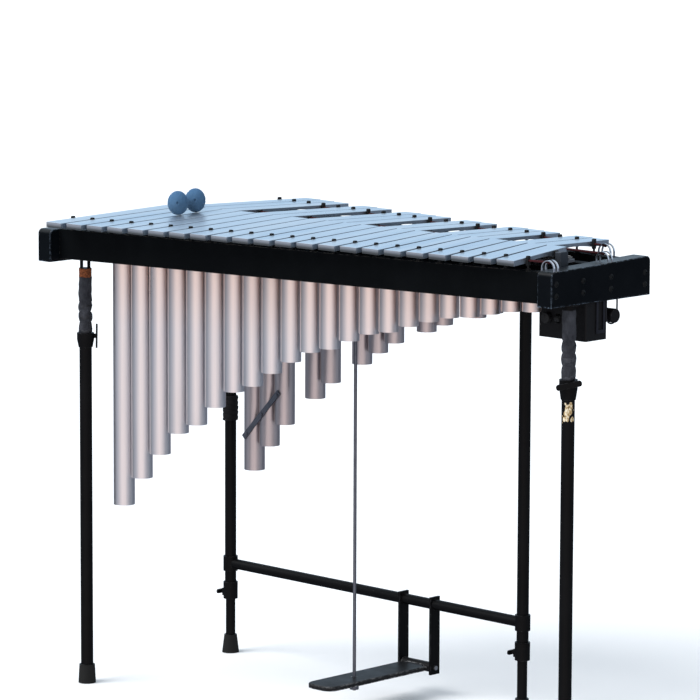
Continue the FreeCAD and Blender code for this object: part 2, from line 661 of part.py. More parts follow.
def make_control_box():
    x0, x1, y0, y1, z0, z1 = BOX
    shell = box(x0, x1, y0, y1, z0, z1)
    shell = shell.makeFillet(2.5, [e for e in shell.Edges if e.BoundBox.ZLength > 10])
    cavity = box(x0 + BOX_WALL, x1 - BOX_WALL, y0 + BOX_WALL, y1 - BOX_WALL, z0 + 2.1, z1 - BOX_WALL)
    mouth = box(x0 + 1.5, x1 - 1.5, y0 + 1.5, y1 - 1.5, z0 - 1, z0 + 2.1)
    knob_bore = rod(V(KNOB_X, y0 - 1, KNOB_Z), V(0, 1, 0), 6, 3.06)
    switch_slot = box(SWITCH_X - 5.1, SWITCH_X + 5.1, y0 - 1, y0 + 4, KNOB_Z - 7.6, KNOB_Z + 7.6)
    inlet_bore = rod(V(INLET_X, y1 - 5, KNOB_Z), V(0, 1, 0), 10, 5.0)
    shell = shell.cut(cavity).cut(mouth).cut(knob_bore).cut(switch_slot).cut(inlet_bore)
    save("control_box", [shell])
    cover = box(x0 + 1.6, x1 - 1.6, y0 + 1.6, y1 - 1.6, z0, z0 + 2.0)
    save("control_box_cover", [cover])
    save("speed_knob", [speed_knob(y0)])
    save("power_switch", [power_switch(y0)])
    save("power_inlet", [power_inlet(y1)])


def power_inlet(face_y):
    """Round low-voltage socket in the back of the box, with its centre pin."""
    neck = rod(V(INLET_X, face_y - 2.6, KNOB_Z), V(0, 1, 0), 2.6, 4.95)
    rim = rod(V(INLET_X, face_y, KNOB_Z), V(0, 1, 0), 4, 7.5)
    bore = rod(V(INLET_X, face_y - 1, KNOB_Z), V(0, 1, 0), 8, 3.0)
    pin = rod(V(INLET_X, face_y - 2.6, KNOB_Z), V(0, 1, 0), 5, 1.0)
    return neck.fuse(rim).cut(bore).fuse(pin).removeSplitter()


def speed_knob(face_y):
    """Ribbed knob with a pointer groove in its face."""
    front_y = face_y - 9
    knob = rod(V(KNOB_X, front_y, KNOB_Z), V(0, 1, 0), 8.5, 9.0)
    knob = knob.makeFillet(1.2, [e for e in knob.Edges if abs(e.BoundBox.YMax - front_y) < 0.01])
    for step in range(KNOB_RIDGES):
        turn = 2 * math.pi * step / KNOB_RIDGES
        place = V(KNOB_X + 9.6 * math.cos(turn), front_y + 2, KNOB_Z + 9.6 * math.sin(turn))
        knob = knob.cut(rod(place, V(0, 1, 0), 12, 1.0))
    spindle = rod(V(KNOB_X, face_y - 2, KNOB_Z), V(0, 1, 0), 8, 3.0)
    pointer = box(KNOB_X - 0.7, KNOB_X + 0.7, front_y - 1, front_y + 0.6, KNOB_Z + 2, KNOB_Z + 8)
    return knob.fuse(spindle).cut(pointer).removeSplitter()


def power_switch(face_y):
    """Rocker that turns on an axis along X, just inside the face."""
    pivot = V(SWITCH_X - 4.9, face_y + 1.5, KNOB_Z)
    barrel = rod(pivot, V(1, 0, 0), 9.8, 6.2)
    keep = box(SWITCH_X - 5, SWITCH_X + 5, face_y - 6, face_y + 1.4, KNOB_Z - 6.3, KNOB_Z + 6.3)
    return barrel.common(keep)


# ---- damper ----
def make_damper():
    half = DAMPER_HALF_WIDTH
    felt_bottom = FELT_TOP - FELT_THICK
    bar_bottom = felt_bottom - DAMPER_BAR_THICK
    x0, x1 = DAMPER_ENDS
    base = box(x0, x1, -half, half, bar_bottom, felt_bottom)
    base = base.makeFillet(1.5, [e for e in base.Edges if e.BoundBox.ZLength > 4])
    save("damper_bar", [base])
    save("damper_felt", [box(x0 + 4, x1 - 4, -half + 1, half - 1, felt_bottom, FELT_TOP)])
    spring_length = bar_bottom - SPRING_SEAT_Z - 0.2
    springs = [pipe(V(x, 0, SPRING_SEAT_Z + 0.1), V(0, 0, 1), spring_length, SPRING_RADIUS, 5.5)
               for x in SPRING_X]
    save("damper_springs", springs)
    low_seat = box(LOW_BEAM_X, SPRING_X[0] + 12, -16, 16, SPRING_SEAT_Z - 3, SPRING_SEAT_Z)
    high_seat = box(SPRING_X[1] - 12, HIGH_BEAM_X, -16, 16, SPRING_SEAT_Z - 3, SPRING_SEAT_Z)
    low_seat = low_seat.fuse(box(LOW_BEAM_X, LOW_BEAM_X + 3, -16, 16, SPRING_SEAT_Z, SPRING_SEAT_Z + 18))
    high_seat = high_seat.fuse(box(HIGH_BEAM_X - 3, HIGH_BEAM_X, -16, 16, SPRING_SEAT_Z, SPRING_SEAT_Z + 18))
    save("damper_spring_seats", [low_seat.removeSplitter(), high_seat.removeSplitter()])
    rod_bottom = PEDAL_Z - 20
    pull = rod(V(ROD_X, 0, rod_bottom), V(0, 0, 1), bar_bottom - rod_bottom, ROD_RADIUS)
    collar = rod(V(ROD_X, 0, bar_bottom - 8), V(0, 0, 1), 8, 7)
    nut = rod(V(ROD_X, 0, rod_bottom + 2), V(0, 0, 1), 8, 8)
    save("damper_pull_rod", [pull.fuse(collar).fuse(nut).removeSplitter()])


# ---- pedal and the rear stretcher that carries it ----
STRETCHER_LINE = line_through(*REAR_LEGS["rear_left"], *REAR_LEGS["rear_right"])
PIN_Y = at(STRETCHER_LINE, ROD_X)


def make_pedal():
    """Pedal on its pin, the two hangers that hold the pin, and the stretcher they hang from."""
    z0 = PEDAL_Z - PEDAL_THICK / 2
    z1 = PEDAL_Z + PEDAL_THICK / 2
    plate = box(ROD_X - PEDAL_HALF_WIDTH, ROD_X + PEDAL_HALF_WIDTH, PEDAL_TOE_Y, PIN_Y - 14, z0, z1)
    corners = [e for e in plate.Edges if e.BoundBox.ZLength > 5 and e.BoundBox.YMax < 0]
    plate = plate.makeFillet(20, corners)
    rims = [e for e in plate.Edges if e.BoundBox.ZLength < 0.01 and e.BoundBox.ZMin > PEDAL_Z]
    plate = plate.makeFillet(2.5, rims)
    plate = plate.cut(rod(V(ROD_X, 0, PEDAL_Z - 20), V(0, 0, 1), 40, 5.0))
    arm = box(ROD_X - 20, ROD_X + 20, PIN_Y - 30, PIN_Y, z0, z1)
    barrel = rod(V(ROD_X - HANGER_X + 2.5, PIN_Y, PEDAL_Z), V(1, 0, 0), 2 * HANGER_X - 5, 9)
    pedal = plate.fuse(arm).fuse(barrel)
    bore = rod(V(ROD_X - 60, PIN_Y, PEDAL_Z), V(1, 0, 0), 120, PIN_RADIUS + SHAFT_CLEARANCE)
    pedal = pedal.cut(bore)
    save("damper_pedal", [pedal.removeSplitter()])
    pin = rod(V(ROD_X - HANGER_X - 5, PIN_Y, PEDAL_Z), V(1, 0, 0), 2 * HANGER_X + 10, PIN_RADIUS)
    save("pedal_pin", [pin])
    hangers = []
    for x in (ROD_X - HANGER_X, ROD_X + HANGER_X):
        hanger = box(x - 2, x + 2, PIN_Y - 12, PIN_Y + 12, PEDAL_Z - 12, STRETCHER_Z + 14)
        hanger = hanger.cut(rod(V(x - 5, PIN_Y, PEDAL_Z), V(1, 0, 0), 10, PIN_RADIUS))
        hangers.append(hanger.cut(stretcher_core()))
    save("pedal_hangers", hangers)
    save("leg_stretcher", [stretcher_tube()])


def stretcher_core():
    """The stretcher's outer cylinder, from leg to leg."""
    start, end = [V(x, y, STRETCHER_Z) for x, y in REAR_LEGS.values()]
    along = (end - start).normalize()
    reach = REAR_UPPER_RADIUS + STRETCHER_FIT
    length = (end - start).Length - 2 * reach
    return rod(start + along * reach, along, length, STRETCHER_RADIUS)


def stretcher_tube():
    """Hollow stretcher with a ring round each rear leg."""
    start, end = [V(x, y, STRETCHER_Z) for x, y in REAR_LEGS.values()]
    inner = REAR_UPPER_RADIUS + STRETCHER_FIT
    solid = stretcher_core().cut(rod(start, end - start, (end - start).Length, STRETCHER_RADIUS - 1.5))
    for place in (start, end):
        ring = pipe(place - V(0, 0, 14), V(0, 0, 1), 28, REAR_UPPER_RADIUS + 3, inner)
        solid = solid.cut(rod(place - V(0, 0, 20), V(0, 0, 1), 40, inner)).fuse(ring)
    return solid.removeSplitter()


# ---- legs ----
def socket(x, y, top_z, inner):
    """Cup under a beam or rail that a leg plugs into."""
    flange = rod(V(x, y, top_z - 4), V(0, 0, 1), 4, inner + 7)
    cup = rod(V(x, y, top_z - 26), V(0, 0, 1), 26, inner + 3)
    return flange.fuse(cup).cut(rod(V(x, y, top_z - 30), V(0, 0, 1), 26, inner)).removeSplitter()


def clamp(x, y, bottom, height, inner):
    """Collar with its wing screw, which points to the low end."""
    outer = inner + 4.5
    collar = pipe(V(x, y, bottom), V(0, 0, 1), height, outer, inner)
    lug = box(x - outer - 3, x - outer + 7, y - 6, y + 6, bottom + 4, bottom + height - 4)
    lug = lug.cut(rod(V(x, y, bottom), V(0, 0, 1), height, inner))
    middle = bottom + height / 2
    screw = rod(V(x - outer - 3, y, middle), V(-1, 0, 0), 7, 4)
    wing = box(x - outer - 11, x - outer - 8, y - 13, y + 13, middle - 4, middle + 4)
    wing = wing.makeFillet(3.5, [e for e in wing.Edges if e.BoundBox.XLength > 2])
    return collar.fuse(lug).fuse(screw).fuse(wing).removeSplitter()


def leg_bracket(name, x, y):
    """Flange under an end beam, and the sleeve for a front leg, which can stand off on a two-pronged fork."""
    sleeve_top = BEAM_BOTTOM - BRACKET_FLANGE - FORK_HEIGHT[name]
    bottom = SLEEVE_BOTTOM[name]
    solid = rod(V(x, y, BEAM_BOTTOM - BRACKET_FLANGE), V(0, 0, 1), BRACKET_FLANGE, 15)
    outer = FRONT_UPPER_RADIUS + SLEEVE_WALL
    solid = solid.fuse(rod(V(x, y, sleeve_top - 2), V(0, 0, 1), 2, outer))
    solid = solid.fuse(pipe(V(x, y, bottom), V(0, 0, 1), sleeve_top - 2 - bottom, outer, FRONT_UPPER_RADIUS))
    if FORK_HEIGHT[name]:
        prongs = rod(V(x, y, sleeve_top), V(0, 0, 1), FORK_HEIGHT[name], FRONT_UPPER_RADIUS)
        gap = box(-15, 15, -FORK_GAP / 2, FORK_GAP / 2, sleeve_top, sleeve_top + FORK_HEIGHT[name])
        gap.rotate(V(0, 0, 0), V(0, 0, 1), WING_HEADING[name] + 90)
        gap.translate(V(x, y, 0))
        solid = solid.fuse(prongs.cut(gap))
    return solid.removeSplitter()


def front_clamp(name, x, y, inner):
    """Tapered collar on top of a front lower tube, with a wing screw in its head."""
    bottom = FRONT_CLAMP_BOTTOM[name]
    top = bottom + FRONT_CLAMP_HEIGHT[name]
    shoulder = bottom + 0.55 * FRONT_CLAMP_HEIGHT[name]
    head_radius = inner + 6.0
    collar = Part.makeCone(FRONT_LOWER_RADIUS + 1.5, head_radius, shoulder - bottom, V(x, y, bottom))
    collar = collar.fuse(rod(V(x, y, shoulder), V(0, 0, 1), top - shoulder, head_radius))
    collar = collar.cut(rod(V(x, y, bottom), V(0, 0, 1), SKIRT_HEIGHT, FRONT_LOWER_RADIUS))
    middle = (shoulder + top) / 2
    screw = rod(V(head_radius - 3, 0, 0), V(1, 0, 0), 6, 4)
    wing = box(head_radius + 3, head_radius + 6, -WING_HALF, WING_HALF, -5, 5)
    wing = wing.makeFillet(4.5, [e for e in wing.Edges if e.BoundBox.XLength > 2])
    wing.rotate(V(0, 0, 0), V(1, 0, 0), WING_TILT[name])
    knob = screw.fuse(wing)
    knob.rotate(V(0, 0, 0), V(0, 0, 1), WING_HEADING[name])
    knob.translate(V(x, y, middle))
    collar = collar.fuse(knob)
    return collar.cut(rod(V(x, y, bottom), V(0, 0, 1), top - bottom, inner)).removeSplitter()


def foot(x, y, inner):
    """Rubber foot that the lower tube stands in."""
    body = Part.makeCone(FOOT_RADIUS, inner + 3.0, FOOT_HEIGHT, V(x, y, FLOOR))
    return body.cut(rod(V(x, y, TUBE_FOOT_Z), V(0, 0, 1), FOOT_HEIGHT, inner))


def front_leg(name, x, y):
    """Upper tube, foam sleeve, and the sliding lower leg as a list."""
    inner = FRONT_UPPER_RADIUS + LEG_CLEARANCE
    clamp_bottom = FRONT_CLAMP_BOTTOM[name]
    upper_bottom = clamp_bottom - FRONT_OVERLAP
    upper_top = BEAM_BOTTOM - BRACKET_FLANGE - FORK_HEIGHT[name] - 2
    upper = pipe(V(x, y, upper_bottom), V(0, 0, 1), upper_top - upper_bottom,
                 FRONT_UPPER_RADIUS, FRONT_UPPER_RADIUS - 1.5)
    foam_bottom = clamp_bottom + FRONT_CLAMP_HEIGHT[name] + 0.5
    foam = pipe(V(x, y, foam_bottom), V(0, 0, 1), SLEEVE_BOTTOM[name] - 0.3 - foam_bottom, FOAM_RADIUS,
                FRONT_UPPER_RADIUS + 0.4)
    lower = pipe(V(x, y, TUBE_FOOT_Z), V(0, 0, 1), clamp_bottom + SKIRT_HEIGHT - TUBE_FOOT_Z,
                 FRONT_LOWER_RADIUS, inner)
    return upper, foam, [lower, front_clamp(name, x, y, inner), foot(x, y, FRONT_LOWER_RADIUS)]


def rear_leg(x, y, top):
    """Socket, upper tube, clamp at its lower end, and the sliding lower leg as a list."""
    inner = REAR_LOWER_RADIUS + LEG_CLEARANCE
    upper = pipe(V(x, y, REAR_CLAMP_BOTTOM), V(0, 0, 1), top - SOCKET_FLOOR - REAR_CLAMP_BOTTOM,
                 REAR_UPPER_RADIUS, inner)
    grip = clamp(x, y, REAR_CLAMP_BOTTOM - 22, 22, inner)
    skirt = pipe(V(x, y, REAR_CLAMP_BOTTOM), V(0, 0, 1), SKIRT_HEIGHT, REAR_UPPER_RADIUS + 3,
                 REAR_UPPER_RADIUS)
    lower = pipe(V(x, y, TUBE_FOOT_Z), V(0, 0, 1), REAR_CLAMP_BOTTOM + REAR_OVERLAP - TUBE_FOOT_Z,
                 REAR_LOWER_RADIUS, REAR_LOWER_RADIUS - 1.5)
    lower_leg = [lower, foot(x, y, REAR_LOWER_RADIUS)]
    return socket(x, y, top, REAR_UPPER_RADIUS), upper, grip.fuse(skirt).removeSplitter(), lower_leg


def make_legs():
    sockets = []
    uppers = []
    foams = []
    clamps = []
    for name, (x, y) in FRONT_LEGS.items():
        upper, foam, lower_leg = front_leg(name, x, y)
        sockets.append(leg_bracket(name, x, y))
        uppers.append(upper)
        foams.append(foam)
        save(name + "_lower_leg", lower_leg)
    for name, (x, y) in REAR_LEGS.items():
        cup, upper, grip, lower_leg = rear_leg(x, y, REAR_LEG_TOPS[name])
        sockets.append(cup)
        uppers.append(upper)
        clamps.append(grip)
        save(name + "_lower_leg", lower_leg)
    save("leg_sockets", sockets)
    save("leg_upper_tubes", uppers)
    save("leg_foam_sleeves", foams)
    save("rear_leg_clamps", clamps)


# ---- mallets ----
def mallet(centre):
    heading = math.radians(MALLET_HEADING)
    slope = math.radians(MALLET_SLOPE)
    along = V(math.cos(heading) * math.cos(slope), math.sin(heading) * math.cos(slope), -math.sin(slope))
    half = MALLET_HEAD_LENGTH / 2
    head = rod(centre - along * half, along, MALLET_HEAD_LENGTH, MALLET_RADIUS)
    rims = [e for e in head.Edges if e.Curve.TypeId == "Part::GeomCircle"]
    head = head.makeFillet(13.0, rims)
    hole = rod(centre - along * 8, along, 60, MALLET_SHAFT_RADIUS)
    shaft = rod(centre - along * 8, along, MALLET_SHAFT_LENGTH, MALLET_SHAFT_RADIUS)
    shaft = shaft.makeFillet(1.5, [e for e in shaft.Edges if e.Curve.TypeId == "Part::GeomCircle"])
    return head.cut(hole), shaft


def make_mallets():
    for name, centre in MALLET_HEADS.items():
        head, shaft = mallet(V(*centre))
        save(name + "_mallet_head", [head])
        save(name + "_mallet_shaft", [shaft])


def main():
    os.makedirs("parts", exist_ok=True)
    make_bars()
    make_posts()
    make_cords()
    make_hooks()
    make_frame()
    make_resonators()
    make_fans()
    make_belts()
    make_motor()
    make_control_box()
    make_damper()
    make_pedal()
    make_legs()
    make_mallets()
    export_parts()


main()
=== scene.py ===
"""Looks of a portable three-octave vibraphone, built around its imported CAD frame.

Everything is in metres, in the frame of the CAD model: X from the low notes to the high notes, Y away from
the player, Z up from the floor.
"""

import math

import bpy
from mathutils import Matrix, Vector, noise


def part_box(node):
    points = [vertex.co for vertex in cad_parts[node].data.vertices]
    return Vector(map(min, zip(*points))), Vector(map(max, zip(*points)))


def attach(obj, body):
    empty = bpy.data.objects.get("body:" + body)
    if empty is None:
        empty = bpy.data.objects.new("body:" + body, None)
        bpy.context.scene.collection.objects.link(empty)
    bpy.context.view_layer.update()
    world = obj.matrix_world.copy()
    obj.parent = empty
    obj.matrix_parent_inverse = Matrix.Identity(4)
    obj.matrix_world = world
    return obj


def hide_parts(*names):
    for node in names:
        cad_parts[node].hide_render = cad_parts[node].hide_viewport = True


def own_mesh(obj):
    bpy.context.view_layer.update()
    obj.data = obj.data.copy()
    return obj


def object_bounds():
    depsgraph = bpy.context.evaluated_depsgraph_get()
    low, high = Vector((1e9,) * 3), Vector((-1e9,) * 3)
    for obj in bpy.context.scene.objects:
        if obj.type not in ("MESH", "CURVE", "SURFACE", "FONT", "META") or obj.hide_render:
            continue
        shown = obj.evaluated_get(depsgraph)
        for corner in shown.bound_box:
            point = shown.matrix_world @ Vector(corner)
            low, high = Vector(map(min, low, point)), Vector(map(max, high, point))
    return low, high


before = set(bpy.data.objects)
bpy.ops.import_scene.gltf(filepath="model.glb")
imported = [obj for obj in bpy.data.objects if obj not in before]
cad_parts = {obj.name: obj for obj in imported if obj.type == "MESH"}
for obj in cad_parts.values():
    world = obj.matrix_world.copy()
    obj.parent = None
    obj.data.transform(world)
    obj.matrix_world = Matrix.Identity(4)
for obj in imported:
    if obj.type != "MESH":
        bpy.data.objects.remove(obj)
cad_low, cad_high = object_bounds()

PITCH = 0.043                      # from one natural bar to the next
BAR_TOP = 0.860                    # of the natural bars, at their front nodal line
BAR_THICK = 0.0095
KEYBOARD_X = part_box("natural_bars_low")[0][0] - 0.00275      # low end of the keyboard
ANCHOR_X = KEYBOARD_X + 0.957      # of the block that holds the inner ends of the front cord
ANCHOR_REACH = 0.009               # from its middle, past its faces
UP = Vector((0, 0, 1))

# soft and worn pieces that are added to the legs
TAPED_SHARE = 0.56                 # of a foam sleeve's length, from its lower end
TAPE_TURNS = 3                     # on each foam sleeve
TAPE_HEIGHT = 0.010
WRAP_TOP = BAR_TOP - 0.372         # of the cloth tape on the rear left leg
WRAP_HEIGHT = 0.046
WRAP_TURNS = 5
RUST_RADIUS = 0.0114               # just outside the bracket's sleeve
RUST_HEIGHT = 0.0158
LABEL_RADIUS = 0.01135             # just outside the lower leg tube
LABEL_TOP = BAR_TOP - 0.2435
LABEL_HEIGHT = 0.034
LABEL_FACING = -50                 # degrees from +X

# camera: place, then heading left of +Y, tilt below the horizon and roll in radians, and lens in mm
# for a 36 mm sensor
CAMERA_PLACE = Vector((KEYBOARD_X + 5.6686, -5.4897, 1.7577))
CAMERA_HEADING = 0.7609
CAMERA_TILT = 0.1461
CAMERA_ROLL = 0.004
CAMERA_LENS = 224.5

# mallets: the direction and the slope of their shafts, in degrees
MALLET_HEADING = 133.5
MALLET_SLOPE = 6.2
YARN_RADIUS = 0.0010
HEAD_HALF_LENGTH = 0.0172


# ---- places in the CAD model ----
def span_near(node, x, y, reach):
    """Lowest and highest corner of the part of a node that lies within reach of a vertical axis."""
    points = [v.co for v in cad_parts[node].data.vertices
              if math.hypot(v.co.x - x, v.co.y - y) < reach]
    low = Vector([min(p[i] for p in points) for i in range(3)])
    high = Vector([max(p[i] for p in points) for i in range(3)])
    return low, high


def leg_axis(node):
    """Plan position of a lower leg, from the underside of its foot."""
    points = [v.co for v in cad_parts[node].data.vertices if v.co.z < 0.001]
    return [(min(p[i] for p in points) + max(p[i] for p in points)) / 2 for i in (0, 1)]


# ---- materials ----
class Paint:
    """One procedural material. Its patterns are in metres of the row frame."""

    def __init__(self, name, **inputs):
        self.material = bpy.data.materials.new(name)
        self.material.use_nodes = True
        self.tree = self.material.node_tree
        self.shader = self.tree.nodes["Principled BSDF"]
        self.set(**inputs)

    def put(self, socket, value):
        if isinstance(value, bpy.types.NodeSocket):
            self.tree.links.new(value, socket)
        else:
            socket.default_value = value

    def set(self, **inputs):
        for name, value in inputs.items():
            self.put(self.shader.inputs[name.replace("_", " ")], value)

    def node(self, kind, settings, *inputs):
        made = self.tree.nodes.new(kind)
        for name, value in settings.items():
            setattr(made, name, value)
        for socket, value in zip(made.inputs, inputs):
            if value is not None:
                self.put(socket, value)
        return made

    def place(self, stretch=(1, 1, 1)):
        coordinates = self.node("ShaderNodeTexCoord", {})
        mapping = self.node("ShaderNodeMapping", {}, coordinates.outputs["Object"])
        mapping.inputs["Scale"].default_value = stretch
        return mapping.outputs[0]

    def noise(self, scale, stretch=(1, 1, 1), detail=3.0, rough=0.5):
        made = self.node("ShaderNodeTexNoise", {}, self.place(stretch))
        made.inputs["Scale"].default_value = scale
        made.inputs["Detail"].default_value = detail
        made.inputs["Roughness"].default_value = rough
        return made.outputs["Fac"]

    def waves(self, scale, stretch, direction):
        made = self.node("ShaderNodeTexWave", {"bands_direction": direction}, self.place(stretch))
        made.inputs["Scale"].default_value = scale
        return made.outputs["Fac"]

    def cells(self, scale):
        made = self.node("ShaderNodeTexVoronoi", {}, self.place())
        made.inputs["Scale"].default_value = scale
        return made.outputs["Distance"]

    def calc(self, operation, a, b=0.0):
        return self.node("ShaderNodeMath", {"operation": operation}, a, b).outputs[0]

    def ramp(self, value, *stops):
        """Grey level or colour from a value, through (place, level or colour) stops."""
        made = self.node("ShaderNodeValToRGB", {}, value)
        elements = made.color_ramp.elements
        while len(elements) < len(stops):
            elements.new(0.5)
        for element, (place, colour) in zip(elements, stops):
            element.position = place
            element.color = (*colour, 1) if isinstance(colour, tuple) else (colour, colour, colour, 1)
        return made.outputs[0]

    def blend(self, share, a, b):
        made = self.node("ShaderNodeMix", {"data_type": "RGBA"})
        colours = [s for s in made.inputs if s.type == "RGBA"]
        self.put(made.inputs[0], share)
        for socket, value in zip(colours, (a, b)):
            self.put(socket, (*value, 1) if isinstance(value, tuple) else value)
        return made.outputs[2]

    def bump(self, height, distance, strength):
        made = self.node("ShaderNodeBump", {})
        made.inputs["Strength"].default_value = strength
        made.inputs["Distance"].default_value = distance
        self.put(made.inputs["Height"], height)
        self.set(Normal=made.outputs[0])

    def axis(self, letter):
        split = self.node("ShaderNodeSeparateXYZ", {}, self.place())
        return split.outputs["XYZ".index(letter)]

    def facing(self, letter, start, end):
        """1 on faces that look along an axis, either way, and 0 on faces that don't."""
        geometry = self.node("ShaderNodeNewGeometry", {})
        split = self.node("ShaderNodeSeparateXYZ", {}, geometry.outputs["Normal"])
        size = self.calc("ABSOLUTE", split.outputs["XYZ".index(letter)])
        return self.ramp(size, (start, 0.0), (end, 1.0))

    def edges(self, radius):
        """1 on convex and concave edges, fading out over radius."""
        bevel = self.node("ShaderNodeBevel", {"samples": 4}, radius)
        geometry = self.node("ShaderNodeNewGeometry", {})
        dot = self.node("ShaderNodeVectorMath", {"operation": "DOT_PRODUCT"}, bevel.outputs[0],
                        geometry.outputs["Normal"])
        away = self.calc("SUBTRACT", 1.0, dot.outputs["Value"])
        return self.ramp(away, (0.02, 0.0), (0.2, 1.0))


def bar_metal():
    """Pale silver anodised aluminium, tinted blue by a painted sky reflection, brushed along the bars.

    It has dull patches, painted shade on its sides in the gaps between the bars, and matte sawn ends that a
    painted reflection of the dark rail darkens towards their lower edge.
    """
    p = Paint("bar_metal")
    streaks = p.noise(160, (6, 0.12, 1), 4.0, 0.6)
    clouds = p.noise(9, (1, 0.5, 1), 3.0)
    along = p.axis("Y")
    shifted = p.calc("ADD", p.axis("X"), p.calc("MULTIPLY", p.calc("GREATER_THAN", along, 0.0), PITCH / 2))
    number = p.calc("FLOOR", p.calc("DIVIDE", p.calc("SUBTRACT", shifted, cad_low[0]), PITCH))
    tone = p.node("ShaderNodeTexWhiteNoise", {"noise_dimensions": "1D"})
    p.put(tone.inputs["W"], number)
    # painted reflection: the pale blue of the bar tops stands in for the sky they reflect; the tone also
    # differs at random from bar to bar
    clean = p.blend(tone.outputs["Value"], (0.63, 0.76, 0.88), (0.74, 0.84, 0.93))
    streaked = p.blend(p.ramp(streaks, (0.35, 0.0), (0.75, 0.55)), clean, (0.40, 0.49, 0.60))
    dull = p.blend(p.ramp(clouds, (0.45, 0.0), (0.70, 0.35)), streaked, (0.72, 0.77, 0.82))
    # painted shade: the side faces of the bars, down in the narrow gaps between them, are darker blue-grey
    sides = p.facing("X", 0.6, 0.8)
    ends = p.facing("Y", 0.6, 0.8)
    shaded = p.blend(sides, dull, (0.36, 0.43, 0.51))
    # painted reflection: the matte sawn ends darken from their top down to their lower edge, where they
    # reflect the dark rail below
    depth = p.calc("DIVIDE", p.calc("SUBTRACT", BAR_TOP, p.axis("Z")), BAR_THICK)
    sawn_ends_and_shade = p.ramp(depth, (0.45, (0.25, 0.27, 0.31)), (1.0, (0.05, 0.055, 0.06)))
    p.set(Base_Color=p.blend(ends, shaded, sawn_ends_and_shade), Metallic=p.ramp(ends, (0.0, 0.9), (1.0, 0.35)))
    wear = p.calc("ADD", p.calc("MULTIPLY", streaks, 0.5), p.calc("MULTIPLY", clouds, 0.5))
    p.set(Roughness=p.ramp(wear, (0.3, 0.24), (0.7, 0.42)))
    p.bump(streaks, 0.00012, 0.25)
    return p.material


def tube_metal(name, light, dark, shine):
    """Satin drawn aluminium tube with faint lines down its length and dull patches, and a painted warm
    reflection near its top.
    """
    p = Paint(name, Metallic=0.95)
    lines = p.noise(70, (5, 5, 0.05), 4.0, 0.6)
    clouds = p.noise(7, (1, 1, 0.35), 4.0)
    base = p.blend(p.ramp(lines, (0.3, 0.0), (0.8, 0.6)), light, dark)
    stained = p.blend(p.ramp(clouds, (0.52, 0.0), (0.78, 0.45)), base, tuple(0.72 * c for c in light))
    # painted reflection: the tube colour turns warmer near its top
    painted_warm_reflection = p.ramp(p.axis("Z"), (0.66, 0.0), (0.79, 0.75))
    p.set(Base_Color=p.blend(painted_warm_reflection, stained, tuple(c * w for c, w in zip(light, (1.03, 0.86, 0.76)))))
    p.set(Roughness=p.ramp(clouds, (0.3, shine), (0.75, shine + 0.13)))
    p.bump(lines, 0.00015, 0.2)
    return p.material


def painted(name, colour, worn, shine, wear=0.0022, gloss=0.10, rubber_below=None, sky_gloss=0.0):
    """Satin paint or lacquer with a faint orange peel, smudges and edges rubbed through; on the end beams the
    edge colour is also a painted sky reflection.

    sky_gloss is added to the gloss of faces that look up. Below rubber_below the piece is plain rubber.
    """
    p = Paint(name)
    flat = p.facing("Z", 0.15, 0.75)
    p.set(Specular_IOR_Level=p.calc("ADD", gloss, p.calc("MULTIPLY", flat, sky_gloss)))
    peel = p.noise(420, (1, 1, 1), 2.0)
    smudge = p.noise(16, (1, 1, 1), 5.0, 0.62)
    patches = p.noise(130, (1, 1, 1), 5.0, 0.7)
    base = p.blend(p.ramp(smudge, (0.4, 0.0), (0.8, 0.6)), colour, tuple(1.6 * c + 0.001 for c in colour))
    # edge colour: rubbed-through wear, and on the end beams a painted sky reflection along the rounded edges
    # as well
    rubbed_and_sheen = p.calc("MULTIPLY", p.edges(wear), p.ramp(patches, (0.46, 0.0), (0.58, 1.0)))
    finish = p.ramp(smudge, (0.3, shine), (0.8, shine + 0.2))
    coat = p.blend(rubbed_and_sheen, base, worn)
    if rubber_below:
        low_down = p.calc("LESS_THAN", p.axis("Z"), rubber_below)
        coat = p.blend(low_down, coat, (0.015, 0.015, 0.015))
        finish = p.calc("MAXIMUM", finish, p.calc("MULTIPLY", low_down, 0.85))
    p.set(Base_Color=coat, Roughness=finish)
    p.bump(peel, 0.0002, 0.2)
    return p.material


def bright_metal(name, colour, shine, scratch=0.25):
    """Plated or bare metal with fine scratches and tarnish in spots."""
    p = Paint(name, Metallic=1.0)
    scratches = p.noise(300, (1, 9, 1), 4.0, 0.65)
    tarnish = p.noise(60, (1, 1, 1), 4.0, 0.6)
    base = p.blend(p.ramp(tarnish, (0.5, 0.0), (0.8, 0.6)), colour, tuple(0.45 * c for c in colour))
    p.set(Base_Color=base)
    p.set(Roughness=p.ramp(scratches, (0.3, shine), (0.8, shine + scratch)))
    p.bump(scratches, 0.0001, 0.2)
    return p.material


def hook_metal():
    """Bright plated strips, and the rougher cast block that holds the inner ends of the front cord, painted
    dark for the shade it sits in.
    """
    p = Paint("hook_metal", Metallic=1.0)
    scratches = p.noise(400, (1, 1, 1), 4.0, 0.65)
    off_block = p.calc("ABSOLUTE", p.calc("SUBTRACT", p.axis("X"), ANCHOR_X))
    block = p.calc("LESS_THAN", off_block, ANCHOR_REACH)
    bright = p.blend(scratches, (0.62, 0.64, 0.68), (0.86, 0.88, 0.92))
    # painted shade: the block under the bars is given a dark colour for the shade it sits in
    p.set(Base_Color=p.blend(block, bright, (0.075, 0.085, 0.100)))
    polish = p.ramp(scratches, (0.3, 0.10), (0.8, 0.28))
    p.set(Roughness=p.calc("ADD", p.calc("MULTIPLY", block, 0.35), polish))
    p.bump(scratches, 0.0001, 0.2)
    return p.material


